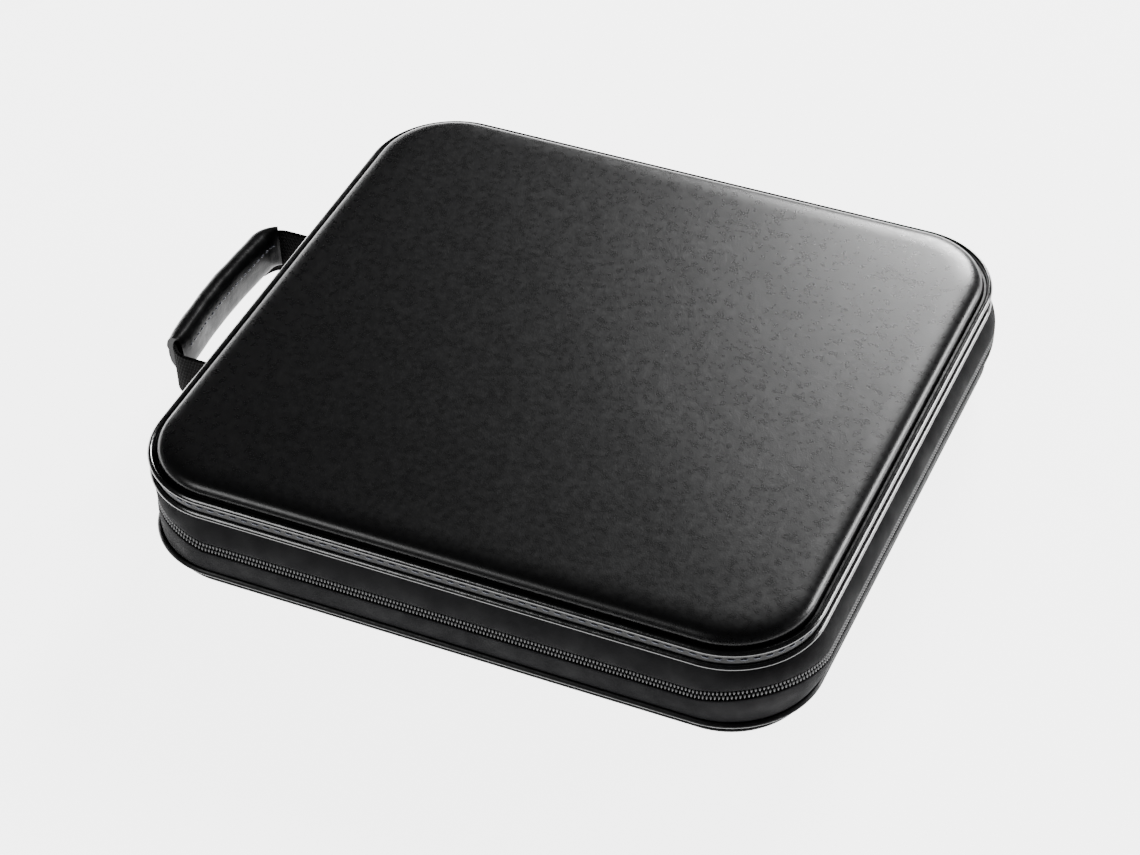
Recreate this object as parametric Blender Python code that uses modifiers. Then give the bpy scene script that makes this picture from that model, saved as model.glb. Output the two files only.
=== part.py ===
"""Zip-round semi-hard disc case with a carrying handle, lying closed on its back.

Metres, +Z up. The origin is the middle of the flat face that the case lies on.
The spine and the handle are on the -X side, and the zip runs round the other three.
"""
import math

import bpy
import bmesh
from mathutils import Matrix

COLLECTION = "disc_case"

# Plan of the case, measured on the seam line of the covers
CASE_LENGTH = 0.320
CASE_WIDTH = 0.2994
CORNER_RADIUS = 0.0412
CORNER_STEPS = 8

# Heights, from the flat back up
BACK_DISH = 0.0047
PIPING_PITCH = 0.0082
WALL_HEIGHT = 0.0359
COVER_RISE = 0.0070

# Covers
PIPING_RADIUS = 0.0016
SHELL_THICKNESS = 0.0025
LINING_THICKNESS = 0.0015
LINING_MARGIN = 0.0125
BAND_THICKNESS = 0.0020
BACK_BAND_THICKNESS = 0.0010
COVER_EDGE_SETBACK = 0.0029
SKIRT_RISE = 0.0006
BACK_TUCK = 0.0055
SEAT_GAP = 0.0003

# Rounded edge of the lid's cover: how far in, and how far below the top
COVER_EDGE = ((0.0005, 0.0044), (0.0019, 0.0026), (0.0043, 0.0012), (0.0076, 0.0003), (0.0116, 0.0))
# Rounded edge of the back: how far in, and how far above the floor
BACK_EDGE = ((0.0008, 0.0028), (0.0024, 0.0012), (0.0050, 0.0003), (0.0080, 0.0))

# Zip and walls
CLOTH_THICKNESS = 0.0012
WALL_BULGE = 0.0037
WALL_TUCK = 0.0004
# The wall's bulge, as shares of its full bulge at shares of the height from lip to seam
WALL_CURVE = ((0.45, 0.72), (0.82, 0.42), (1.0, 0.0))
ZIP_SLOT = 0.0068
TAPE_THICKNESS = 0.0008
TAPE_HEIGHT = 0.0029
TEETH_THICKNESS = 0.0022
TEETH_HEIGHT = 0.0022
TEETH_PARTING = 0.0012
ZIP_END_GAP = 0.0004

# Spine
SPINE_LENGTH = 0.200
SPINE_THICKNESS = 0.0020
SPINE_PROUD = 0.0004
BOARD_THICKNESS = 0.0016
BOARD_MARGIN = 0.0040

# Zip sliders, parked nose to nose on the +Y side
SLIDER_LENGTH = 0.0110
SLIDER_HEIGHT = 0.0088
SLIDER_PLATE = 0.0013
SLIDER_BLADE = 0.0006
SLIDER_GAP = 0.0010
SLIDER_CLEARANCE = 0.0004
EAR_LENGTH = 0.0030
EAR_THICKNESS = 0.0008
EAR_HEIGHT = 0.0022
EAR_SETBACK = 0.0001
TAB_LENGTH = 0.0220
TAB_THICKNESS = 0.0012
TAB_BARREL_RADIUS = 0.0009
TAB_BARREL_STEPS = 10
STOP_LENGTH = 0.0016

# Handle
STRAP_HEIGHT = 0.025
STRAP_THICKNESS = 0.0018
STRAP_FOOT_SPACING = 0.103
STRAP_REACH = 0.0341
STRAP_CROWN = 0.0022
STRAP_BEND = 0.0110
STRAP_BEND_STEPS = 5
GRIP_LENGTH = 0.086
GRIP_HEIGHT = 0.028
GRIP_THICKNESS = 0.0120
GRIP_SIDES = 16
GRIP_SQUARENESS = 0.7

# Disc sleeves and the strip that holds them to the spine
SLEEVE_SPINE_MARGIN = 0.0220
SLEEVE_FRONT_MARGIN = 0.0150
SLEEVE_SIDE_MARGIN = 0.0167
SLEEVE_LENGTH = CASE_LENGTH - SLEEVE_SPINE_MARGIN - SLEEVE_FRONT_MARGIN
SLEEVE_WIDTH = CASE_WIDTH - 2 * SLEEVE_SIDE_MARGIN
SLEEVE_STACK = 0.040
SLEEVE_CORNER = 0.018
SLEEVE_CORNER_STEPS = 4
BINDER_THICKNESS = 0.0030
BINDER_WEB = 0.0020
BINDER_LENGTH = 0.180

# Places that follow from the sizes above
HALF_LENGTH = CASE_LENGTH / 2
HALF_WIDTH = CASE_WIDTH / 2
Z_BACK_OUTER = BACK_DISH
Z_BACK_INNER = Z_BACK_OUTER + PIPING_PITCH
Z_LID_INNER = Z_BACK_INNER + WALL_HEIGHT
Z_LID_OUTER = Z_LID_INNER + PIPING_PITCH
Z_TOP = Z_LID_OUTER + COVER_RISE
Z_ZIP = (Z_BACK_INNER + Z_LID_INNER) / 2
Z_WALL_LOW = Z_BACK_INNER + PIPING_RADIUS + SEAT_GAP
Z_WALL_HIGH = Z_LID_INNER - PIPING_RADIUS - SEAT_GAP
TEETH_MIDDLE = WALL_BULGE - CLOTH_THICKNESS - SEAT_GAP - SEAT_GAP - TAPE_THICKNESS / 2
SPINE_INSIDE = SPINE_PROUD - SPINE_THICKNESS
STRAP_START = -(HALF_LENGTH + SPINE_PROUD + SEAT_GAP)
STRAP_MIDDLE = STRAP_START - STRAP_REACH + STRAP_CROWN
SLEEVE_FLOOR = SHELL_THICKNESS + SEAT_GAP + LINING_THICKNESS + SEAT_GAP

# Lid hinge: the fold runs along Y at the head of the spine
HINGE_X = -(HALF_LENGTH + WALL_BULGE + SEAT_GAP)
HINGE_Z = Z_WALL_HIGH
LID_PIECES = ("top_panel", "top_lining", "top_side_band", "top_piping_outer", "top_piping_inner",
              "gusset_upper", "zip_tape_upper", "zip_teeth_upper")

LEATHERETTE = ("black_leatherette", (0.012, 0.012, 0.013), 0.42, 0.0)
PIPING_PU = ("glossy_piping", (0.010, 0.010, 0.011), 0.22, 0.0)
NYLON = ("woven_nylon", (0.011, 0.011, 0.012), 0.78, 0.0)
WEBBING = ("ribbed_webbing", (0.010, 0.010, 0.011), 0.70, 0.0)
COIL = ("zip_coil", (0.014, 0.014, 0.015), 0.45, 0.0)
LINING = ("black_lining", (0.016, 0.016, 0.017), 0.85, 0.0)
SLEEVE = ("sleeve_film", (0.030, 0.031, 0.034), 0.35, 0.0)
METAL = ("black_metal", (0.020, 0.020, 0.022), 0.35, 0.9)


def clear_scene():
    for old in list(bpy.data.objects):
        bpy.data.objects.remove(old, do_unlink=True)


def make_collection(name):
    found = bpy.data.collections.get(name) or bpy.data.collections.new(name)
    if name not in bpy.context.scene.collection.children:
        bpy.context.scene.collection.children.link(found)
    return found


def material(name, finish):
    """One material for each piece, from the finish's colour, roughness and metallic."""
    _, colour, roughness, metallic = finish
    made = bpy.data.materials.new(name + "_" + finish[0])
    made.use_nodes = True
    shader = made.node_tree.nodes["Principled BSDF"]
    shader.inputs["Base Color"].default_value = (*colour, 1.0)
    shader.inputs["Roughness"].default_value = roughness
    shader.inputs["Metallic"].default_value = metallic
    return made


def add_piece(name, data, finish):
    piece = bpy.data.objects.new(name, data)
    PIECES.objects.link(piece)
    data.materials.append(material(name, finish))
    return piece


def add_guide(name, data):
    guide = bpy.data.objects.new(name, data)
    GUIDES.objects.link(guide)
    guide.hide_render = True
    guide.display_type = "WIRE"
    return guide


def rounded_outline(half_x, half_y, radius, steps, middle_x=0.0):
    """A rounded rectangle, counter-clockwise from its corner at -X and -Y."""
    points = []
    corners = ((-1, -1, 180), (1, -1, 270), (1, 1, 0), (-1, 1, 90))
    for side_x, side_y, start in corners:
        centre_x = middle_x + side_x * (half_x - radius)
        centre_y = side_y * (half_y - radius)
        for step in range(steps + 1):
            angle = math.radians(start + 90 * step / steps)
            points.append((centre_x + radius * math.cos(angle),
                           centre_y + radius * math.sin(angle)))
    return points


def plan_points(outset):
    """The case's rounded outline, moved out from the seam line by an even amount."""
    return rounded_outline(HALF_LENGTH + outset, HALF_WIDTH + outset, CORNER_RADIUS + outset,
                           CORNER_STEPS)


def zip_run_points():
    """The open run that the zip follows: both spine ends and the three free sides."""
    end = SPINE_LENGTH / 2 + ZIP_END_GAP
    return [(-HALF_LENGTH, -end)] + plan_points(0.0) + [(-HALF_LENGTH, end)]


def hang_on(name, place, pieces):
    """An empty on a joint's axis, with the pieces that move about it as its children."""
    axis = bpy.data.objects.new(name, None)
    PIECES.objects.link(axis)
    axis.location = place
    for piece in pieces:
        child = bpy.data.objects[piece]
        child.parent = axis
        child.matrix_parent_inverse = Matrix.Translation(place).inverted()


def poly_curve(name, points, cyclic):
    curve = bpy.data.curves.new(name, "CURVE")
    curve.dimensions = "2D"
    curve.render_resolution_u = 0
    spline = curve.splines.new("POLY")
    spline.points.add(len(points) - 1)
    for point, place in zip(spline.points, points):
        point.co = (place[0], place[1], 0.0, 1.0)
    spline.use_cyclic_u = cyclic
    return curve


def clockwise(section):
    """The section's points in the order that turns a swept skin's faces outwards."""
    following = section[1:] + section[:1]
    doubled_area = sum(a[0] * b[1] - b[0] * a[1] for a, b in zip(section, following))
    return section[::-1] if doubled_area > 0 else section


def sweep(name, section, route, cyclic, finish):
    """Runs a section of (outset, height) points along a counter-clockwise route."""
    # A closed 2D path turns the section's +X to its inside, and an open one to its outside
    side = -1 if cyclic else 1
    drawn = clockwise([(side * outset, height) for outset, height in section])
    guide = add_guide(name + "_section", poly_curve(name + "_section", drawn, True))
    curve = poly_curve(name, route, cyclic)
    curve.bevel_mode = "OBJECT"
    curve.bevel_object = guide
    curve.fill_mode = "NONE"
    curve.use_fill_caps = not cyclic
    return add_piece(name, curve, finish)


def strip_section(outer, thickness):
    """A cloth strip's section: its outer line, and the same line one thickness in."""
    inner = [(outset - thickness, height) for outset, height in reversed(outer)]
    return list(outer) + inner


def box_section(outset_low, outset_high, z_low, z_high):
    return [(outset_high, z_low), (outset_high, z_high), (outset_low, z_high), (outset_low, z_low)]


def round_section(outset, height, radius, sides=10):
    turn = 2 * math.pi / sides
    return [(outset + radius * math.cos(turn * i), height + radius * math.sin(turn * i))
            for i in range(sides)]


def slab(name, points, z_low, z_high, finish, rounding=0.0):
    """A flat outline with an even thickness."""
    curve = poly_curve(name, points, True)
    curve.fill_mode = "BOTH"
    curve.extrude = (z_high - z_low) / 2 - rounding
    curve.bevel_depth = rounding
    curve.bevel_resolution = 1
    curve.offset = -rounding
    piece = add_piece(name, curve, finish)
    piece.location.z = (z_low + z_high) / 2
    return piece


def moulded_shell(name, rings, finish):
    """A pressed cover: an outline carried through its rings, then given a wall inwards."""
    mesh = bpy.data.meshes.new(name)
    bm = bmesh.new()
    outset, height = rings[0]
    rim = bm.faces.new([bm.verts.new((x, y, 0.0)) for x, y in plan_points(outset)])
    top = bmesh.ops.extrude_face_region(bm, geom=[rim])
    face = [item for item in top["geom"] if isinstance(item, bmesh.types.BMFace)][0]
    bmesh.ops.delete(bm, geom=[rim], context="FACES_ONLY")
    climb = 1.0 if rings[-1][1] > height else -1.0
    first_rise = abs(rings[1][1] - height)
    bmesh.ops.translate(bm, verts=face.verts, vec=(0.0, 0.0, first_rise))
    for (outset_a, z_a), (outset_b, z_b) in zip(rings[1:], rings[2:]):
        bmesh.ops.inset_region(bm, faces=[face], thickness=outset_a - outset_b,
                               depth=abs(z_b - z_a), use_even_offset=True)
    bmesh.ops.scale(bm, verts=bm.verts, vec=(1.0, 1.0, climb))
    bmesh.ops.translate(bm, verts=bm.verts, vec=(0.0, 0.0, height))
    if climb < 0:
        bmesh.ops.reverse_faces(bm, faces=bm.faces)
    bm.to_mesh(mesh)
    bm.free()
    piece = add_piece(name, mesh, finish)
    wall = piece.modifiers.new("wall", "SOLIDIFY")
    wall.thickness = SHELL_THICKNESS
    wall.offset = -1.0
    wall.use_even_offset = True
    return piece


def mesh_box(name, size, place, adder):
    """A box of the given size, centred on its place."""
    mesh = bpy.data.meshes.new(name)
    bm = bmesh.new()
    bmesh.ops.create_cube(bm, size=1.0)
    bmesh.ops.scale(bm, verts=bm.verts, vec=size)
    bm.to_mesh(mesh)
    bm.free()
    box = adder(name, mesh)
    box.location = place
    return box


def join_or_cut(piece, tool, operation):
    boolean = piece.modifiers.new(tool.name, "BOOLEAN")
    boolean.operation = operation
    boolean.solver = "EXACT"
    boolean.object = tool


def curve_to_mesh(item, adder):
    """Turns a curve object into a mesh object of the same name, with its caps welded."""
    bpy.context.view_layer.update()
    graph = bpy.context.evaluated_depsgraph_get()
    mesh = bpy.data.meshes.new_from_object(item.evaluated_get(graph))
    bm = bmesh.new()
    bm.from_mesh(mesh)
    bmesh.ops.remove_doubles(bm, verts=bm.verts, dist=1e-6)
    bm.to_mesh(mesh)
    bm.free()
    mesh.materials.clear()
    name = item.name
    place = item.matrix_world.copy()
    bpy.data.objects.remove(item, do_unlink=True)
    made = adder(name, mesh)
    made.matrix_world = place
    return made


def make_covers():
    """Pressed outer shells and the boards' linings inside them."""
    edge = -COVER_EDGE_SETBACK
    skirt_foot = Z_LID_INNER + PIPING_RADIUS / 2
    lid_rings = [(edge, skirt_foot), (edge, Z_LID_OUTER + SKIRT_RISE)]
    for inward, drop in COVER_EDGE:
        lid_rings.append((edge - inward, Z_TOP - drop))
    moulded_shell("top_panel", lid_rings, LEATHERETTE)

    back_head = Z_BACK_INNER - PIPING_RADIUS / 2
    tucked = edge - BACK_TUCK
    back_rings = [(edge, back_head), (edge, back_head - SEAT_GAP), (tucked, Z_BACK_OUTER)]
    for inward, rise in BACK_EDGE:
        back_rings.append((tucked - inward, rise))
    moulded_shell("bottom_panel", back_rings, LEATHERETTE)

    lining_top = Z_TOP - SHELL_THICKNESS - SEAT_GAP
    slab("top_lining", plan_points(-LINING_MARGIN), lining_top - LINING_THICKNESS,
         lining_top, LINING)
    lining_floor = SHELL_THICKNESS + SEAT_GAP
    slab("bottom_lining", plan_points(-LINING_MARGIN - BACK_TUCK), lining_floor,
         lining_floor + LINING_THICKNESS, LINING)


def make_bindings():
    """The side band of each cover and the piping sewn along both of its edges."""
    outline = plan_points(0.0)
    reach = PIPING_RADIUS + SEAT_GAP
    band_out = -COVER_EDGE_SETBACK + SEAT_GAP + BAND_THICKNESS
    lid_band = [(band_out, Z_LID_INNER + reach), (band_out, Z_LID_OUTER - reach)]
    sweep("top_side_band", strip_section(lid_band, BAND_THICKNESS), outline, True, PIPING_PU)
    sweep("top_piping_outer", round_section(0.0, Z_LID_OUTER, PIPING_RADIUS), outline, True,
          PIPING_PU)
    sweep("top_piping_inner", round_section(0.0, Z_LID_INNER, PIPING_RADIUS), outline, True,
          PIPING_PU)

    slope = BACK_TUCK / PIPING_PITCH
    back_band = [(band_out - BACK_TUCK + slope * reach, Z_BACK_OUTER + reach),
                 (band_out - slope * reach, Z_BACK_INNER - reach)]
    sweep("bottom_side_band", strip_section(back_band, BACK_BAND_THICKNESS), outline, True,
          PIPING_PU)
    sweep("bottom_piping_outer", round_section(-BACK_TUCK, Z_BACK_OUTER, PIPING_RADIUS), outline,
          True, PIPING_PU)
    sweep("bottom_piping_inner", round_section(0.0, Z_BACK_INNER, PIPING_RADIUS), outline, True,
          PIPING_PU)


def make_wall_and_zip():
    """The woven wall, the zip tapes and the two rows of coil, above and below the zip."""
    route = zip_run_points()
    teeth_in = TEETH_MIDDLE - TEETH_THICKNESS / 2
    teeth_out = TEETH_MIDDLE + TEETH_THICKNESS / 2
    tape_in = TEETH_MIDDLE - TAPE_THICKNESS / 2
    tape_out = TEETH_MIDDLE + TAPE_THICKNESS / 2
    for side, seam, row in ((1, Z_WALL_HIGH, "upper"), (-1, Z_WALL_LOW, "lower")):
        lip = Z_ZIP + side * ZIP_SLOT / 2
        rise = seam - lip
        wall = [(-WALL_TUCK, seam)]
        wall += [(WALL_BULGE * out, lip + rise * up) for out, up in WALL_CURVE]
        section = strip_section(wall[::-side], CLOTH_THICKNESS)
        sweep("gusset_" + row, section, route, False, NYLON)

        near = Z_ZIP + side * TEETH_PARTING / 2
        far = near + side * TEETH_HEIGHT
        low, high = sorted((near, far))
        sweep("zip_teeth_" + row, box_section(teeth_in, teeth_out, low, high), route, False, COIL)

        near = far + side * SEAT_GAP
        low, high = sorted((near, near + side * TAPE_HEIGHT))
        sweep("zip_tape_" + row, box_section(tape_in, tape_out, low, high), route, False, NYLON)


def make_spine():
    """The plain cloth wall behind the handle, its board and the zip's two end stops."""
    half = SPINE_LENGTH / 2
    height = Z_WALL_HIGH - Z_WALL_LOW
    middle = (Z_WALL_HIGH + Z_WALL_LOW) / 2
    wall_x = -(HALF_LENGTH + SPINE_PROUD - SPINE_THICKNESS / 2)
    mesh_box("spine_wall", (SPINE_THICKNESS, SPINE_LENGTH, height), (wall_x, 0.0, middle),
             lambda name, mesh: add_piece(name, mesh, NYLON))
    board_x = -(HALF_LENGTH + SPINE_INSIDE - SEAT_GAP - BOARD_THICKNESS / 2)
    mesh_box("spine_board", (BOARD_THICKNESS, SPINE_LENGTH - 2 * BOARD_MARGIN,
                             height - BOARD_MARGIN), (board_x, 0.0, middle),
             lambda name, mesh: add_piece(name, mesh, LINING))
    tall = TEETH_HEIGHT * 2 + TEETH_PARTING
    stop_x = -(HALF_LENGTH + TEETH_MIDDLE)
    for side, name in ((-1, "zip_stop_front"), (1, "zip_stop_back")):
        stop_y = side * (half - STOP_LENGTH / 2)
        place = (stop_x - SEAT_GAP, stop_y, Z_ZIP)
        mesh_box(name, (TEETH_THICKNESS - SEAT_GAP, STOP_LENGTH, tall), place,
                 lambda label, mesh: add_piece(label, mesh, METAL))


def make_slider(side, word):
    """A slider: an outer and an inner plate joined by the blade that parts the teeth."""
    centre_x = side * (SLIDER_LENGTH + SLIDER_GAP) / 2
    half = SLIDER_HEIGHT / 2
    blade = SLIDER_BLADE / 2
    out_low = WALL_BULGE + SLIDER_CLEARANCE
    out_high = out_low + SLIDER_PLATE
    in_high = TEETH_MIDDLE - TEETH_THICKNESS / 2 - SEAT_GAP
    in_low = in_high - SLIDER_PLATE
    outline = [(in_low, -half), (in_high, -half), (in_high, -blade), (out_low, -blade),
               (out_low, -half), (out_high, -half), (out_high, half), (out_low, half),
               (out_low, blade), (in_high, blade), (in_high, half), (in_low, half)]
    name = "zip_slider_" + word
    curve = poly_curve(name, outline, True)
    curve.fill_mode = "BOTH"
    curve.extrude = SLIDER_LENGTH / 2
    body = add_piece(name, curve, METAL)
    # The outline's X runs out of the wall (+Y) and its Y runs up (+Z)
    turn = Matrix(((0, 0, 1, centre_x), (1, 0, 0, HALF_WIDTH), (0, 1, 0, Z_ZIP), (0, 0, 0, 1)))
    body.matrix_world = turn
    body = curve_to_mesh(body, lambda label, mesh: add_piece(label, mesh, METAL))
    ear_sink = SLIDER_PLATE / 2
    ear_y = HALF_WIDTH + out_high - ear_sink + (EAR_HEIGHT + ear_sink) / 2
    for up in (-1, 1):
        ear_z = Z_ZIP + up * (half - EAR_THICKNESS / 2 - EAR_SETBACK)
        ear = mesh_box(name + "_ear_" + ("low" if up < 0 else "high"),
                       (EAR_LENGTH, EAR_HEIGHT + ear_sink, EAR_THICKNESS),
                       (centre_x, ear_y, ear_z), add_guide)
        join_or_cut(body, ear, "UNION")

    # The pull tab lies along the zip, away from the other slider
    tab_name = "pull_tab_" + word
    bar = TAB_THICKNESS / 2
    shoulder = math.asin(bar / TAB_BARREL_RADIUS)
    arc = [shoulder + (2 * math.pi - 2 * shoulder) * i / TAB_BARREL_STEPS
           for i in range(TAB_BARREL_STEPS + 1)]
    tab_outline = [(TAB_BARREL_RADIUS * math.cos(a), TAB_BARREL_RADIUS * math.sin(a)) for a in arc]
    tab_outline += [(TAB_LENGTH, -bar), (TAB_LENGTH, bar)]
    if side < 0:
        tab_outline = [(-x, y) for x, y in reversed(tab_outline)]
    tab_curve = poly_curve(tab_name, tab_outline, True)
    tab_curve.fill_mode = "BOTH"
    tab_curve.extrude = half - EAR_SETBACK - EAR_THICKNESS - SEAT_GAP
    tab = add_piece(tab_name, tab_curve, METAL)
    tab.location = (centre_x, HALF_WIDTH + out_high + SEAT_GAP + TAB_BARREL_RADIUS, Z_ZIP)
    hang_on(name + "_run", (centre_x, HALF_WIDTH + TEETH_MIDDLE, Z_ZIP), [name])
    tab.parent = bpy.data.objects[name]
    tab.matrix_parent_inverse = body.matrix_world.inverted()


def strap_route():
    """The strap's middle line in plan, from its front foot to its back foot."""
    foot = STRAP_FOOT_SPACING / 2
    bend = STRAP_BEND
    quarter = [math.radians(90 * i / STRAP_BEND_STEPS) for i in range(STRAP_BEND_STEPS + 1)]
    front = [(STRAP_START, -foot)]
    front += [(STRAP_MIDDLE + bend - bend * math.sin(a), -foot + bend - bend * math.cos(a))
              for a in quarter]
    straight = foot - bend
    crown = [(STRAP_MIDDLE - STRAP_CROWN * math.cos(math.pi * y / 2), straight * y)
             for y in (-0.75, -0.5, -0.25, 0.0)]
    half = front + crown
    return half + [(x, -y) for x, y in reversed(half[:-1])]


def grip_route():
    """The stretch of the strap that the grip wraps."""
    reach = GRIP_LENGTH / 2
    span = STRAP_FOOT_SPACING / 2 - STRAP_BEND
    steps = [-1.0, -0.8, -0.5, -0.2, 0.0, 0.2, 0.5, 0.8, 1.0]
    return [(STRAP_MIDDLE - STRAP_CROWN * math.cos(math.pi * min(abs(t * reach) / span, 1) / 2),
             t * reach) for t in steps]


def make_handle():
    """A flat strap sewn to the spine at both feet, and the rolled grip round its middle."""
    half = STRAP_THICKNESS / 2
    tall = STRAP_HEIGHT / 2
    section = box_section(-half, half, Z_ZIP - tall, Z_ZIP + tall)
    sweep("handle_strap", section, strap_route()[::-1], False, WEBBING)

    slot = half + SEAT_GAP
    tunnel = sweep("handle_tunnel", box_section(-slot, slot, Z_ZIP - tall - SEAT_GAP,
                                                Z_ZIP + tall + SEAT_GAP),
                   strap_route()[::-1], False, WEBBING)
    tunnel = curve_to_mesh(tunnel, add_guide)
    wide = GRIP_THICKNESS / 2
    high = GRIP_HEIGHT / 2
    oval = []
    for i in range(GRIP_SIDES):
        angle = 2 * math.pi * i / GRIP_SIDES
        side = math.copysign(abs(math.cos(angle)) ** GRIP_SQUARENESS, math.cos(angle))
        rise = math.copysign(abs(math.sin(angle)) ** GRIP_SQUARENESS, math.sin(angle))
        oval.append((wide * side, Z_ZIP + high * rise))
    grip = sweep("handle_grip", oval, grip_route()[::-1], False, LEATHERETTE)
    grip = curve_to_mesh(grip, lambda name, mesh: add_piece(name, mesh, LEATHERETTE))
    join_or_cut(grip, tunnel, "DIFFERENCE")


def make_sleeves():
    """The block of disc sleeves and the strip that sews it to the spine."""
    front_x = HALF_LENGTH - SLEEVE_FRONT_MARGIN
    centre_x = front_x - SLEEVE_LENGTH / 2
    centre_z = SLEEVE_FLOOR + SLEEVE_STACK / 2
    leaf = rounded_outline(SLEEVE_LENGTH / 2, SLEEVE_WIDTH / 2, SLEEVE_CORNER, SLEEVE_CORNER_STEPS,
                           centre_x)
    slab("disc_sleeves", leaf, SLEEVE_FLOOR, SLEEVE_FLOOR + SLEEVE_STACK, SLEEVE)

    back_x = front_x - SLEEVE_LENGTH - SEAT_GAP
    board_face = -(HALF_LENGTH + SPINE_INSIDE - SEAT_GAP - BOARD_THICKNESS) + SEAT_GAP
    web = BINDER_WEB / 2
    outline = [(board_face, centre_z - web), (back_x - BINDER_THICKNESS, centre_z - web),
               (back_x - BINDER_THICKNESS, SLEEVE_FLOOR), (back_x, SLEEVE_FLOOR),
               (back_x, SLEEVE_FLOOR + SLEEVE_STACK),
               (back_x - BINDER_THICKNESS, SLEEVE_FLOOR + SLEEVE_STACK),
               (back_x - BINDER_THICKNESS, centre_z + web), (board_face, centre_z + web)]
    curve = poly_curve("sleeve_binding", outline, True)
    curve.fill_mode = "BOTH"
    curve.extrude = BINDER_LENGTH / 2
    strip = add_piece("sleeve_binding", curve, LINING)
    # The outline's Y runs up (+Z), and it is drawn out along Y
    strip.matrix_world = Matrix(((1, 0, 0, 0), (0, 0, -1, 0), (0, 1, 0, 0), (0, 0, 0, 1)))


clear_scene()
PIECES = make_collection(COLLECTION)
GUIDES = make_collection(COLLECTION + "_guides")
make_covers()
make_bindings()
make_wall_and_zip()
make_spine()
make_slider(-1, "left")
make_slider(1, "right")
make_handle()
make_sleeves()
hang_on("lid_fold", (HINGE_X, 0.0, HINGE_Z), LID_PIECES)
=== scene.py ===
"""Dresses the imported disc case: leatherette covers, piping, woven walls, zip, strap and grip."""

import math

import bmesh
import bpy
from bpy.props import FloatProperty, FloatVectorProperty, IntProperty, PointerProperty
from mathutils import Matrix, Vector


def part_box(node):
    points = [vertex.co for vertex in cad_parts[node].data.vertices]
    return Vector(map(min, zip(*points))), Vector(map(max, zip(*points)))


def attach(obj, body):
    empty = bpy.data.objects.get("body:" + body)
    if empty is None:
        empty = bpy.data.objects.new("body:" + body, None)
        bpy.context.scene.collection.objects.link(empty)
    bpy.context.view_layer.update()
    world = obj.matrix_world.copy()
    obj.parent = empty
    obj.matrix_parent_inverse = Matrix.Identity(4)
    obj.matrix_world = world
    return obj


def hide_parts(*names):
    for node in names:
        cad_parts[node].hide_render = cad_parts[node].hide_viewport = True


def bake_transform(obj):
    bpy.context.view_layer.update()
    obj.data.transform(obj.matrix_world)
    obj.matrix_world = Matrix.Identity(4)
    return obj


bl_info = {
    "name": "Disc Case Dresser",
    "version": (1, 0, 0),
    "blender": (4, 5, 0),
    "location": "3D View > Sidebar > Disc Case",
    "description": "Builds the finished surfaces of a zip-round disc case around its packed frame",
    "category": "Object",
}

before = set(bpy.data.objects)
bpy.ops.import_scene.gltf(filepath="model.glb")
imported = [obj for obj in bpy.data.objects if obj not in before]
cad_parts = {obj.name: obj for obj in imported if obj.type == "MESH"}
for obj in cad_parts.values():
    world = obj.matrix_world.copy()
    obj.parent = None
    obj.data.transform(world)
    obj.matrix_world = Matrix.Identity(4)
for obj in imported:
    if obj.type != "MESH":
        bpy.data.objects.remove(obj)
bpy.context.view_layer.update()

# Places read from the frame
PIPE_LOW, PIPE_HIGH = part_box("top_piping_outer")
INNER_LOW, INNER_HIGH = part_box("top_piping_inner")
BACK_INNER_LOW, BACK_INNER_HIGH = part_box("bottom_piping_inner")
BACK_OUTER_LOW, BACK_OUTER_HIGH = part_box("bottom_piping_outer")
TOP_LOW, TOP_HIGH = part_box("top_panel")
GUSSET_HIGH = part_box("gusset_upper")[1]
TEETH_UP_LOW, TEETH_UP_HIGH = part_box("zip_teeth_upper")
TEETH_DOWN_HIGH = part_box("zip_teeth_lower")[1]
SPINE_LOW, SPINE_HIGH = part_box("spine_wall")
STRAP_LOW, STRAP_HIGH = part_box("handle_strap")
GRIP_LOW, GRIP_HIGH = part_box("handle_grip")
SLEEVES_LOW, SLEEVES_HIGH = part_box("disc_sleeves")

PIPING_RADIUS = (PIPE_HIGH.z - PIPE_LOW.z) / 2
HALF_LENGTH = PIPE_HIGH.x - PIPING_RADIUS
HALF_WIDTH = PIPE_HIGH.y - PIPING_RADIUS
Z_LID_OUTER = (PIPE_HIGH.z + PIPE_LOW.z) / 2
Z_LID_INNER = (INNER_HIGH.z + INNER_LOW.z) / 2
Z_BACK_INNER = (BACK_INNER_HIGH.z + BACK_INNER_LOW.z) / 2
Z_BACK_OUTER = (BACK_OUTER_HIGH.z + BACK_OUTER_LOW.z) / 2
Z_TOP = TOP_HIGH.z
Z_ZIP = (TEETH_UP_LOW.z + TEETH_DOWN_HIGH.z) / 2
BACK_TUCK = BACK_INNER_HIGH.x - BACK_OUTER_HIGH.x
TEETH_OUTSET = TEETH_UP_HIGH.x - HALF_LENGTH
WALL_BULGE = GUSSET_HIGH.x - HALF_LENGTH
SPINE_HALF = SPINE_HIGH.y
ZIP_END = SPINE_HALF + 0.0004

# The case's outline in plan
CORNER_RADIUS = 0.0412
CORNER_X = HALF_LENGTH - CORNER_RADIUS
CORNER_Y = HALF_WIDTH - CORNER_RADIUS
RUN_X = 2 * CORNER_X
RUN_Y = 2 * CORNER_Y
ARC = CORNER_RADIUS * math.pi / 2
OUTLINE_LENGTH = 4 * (CORNER_X + CORNER_Y) + 4 * ARC

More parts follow.
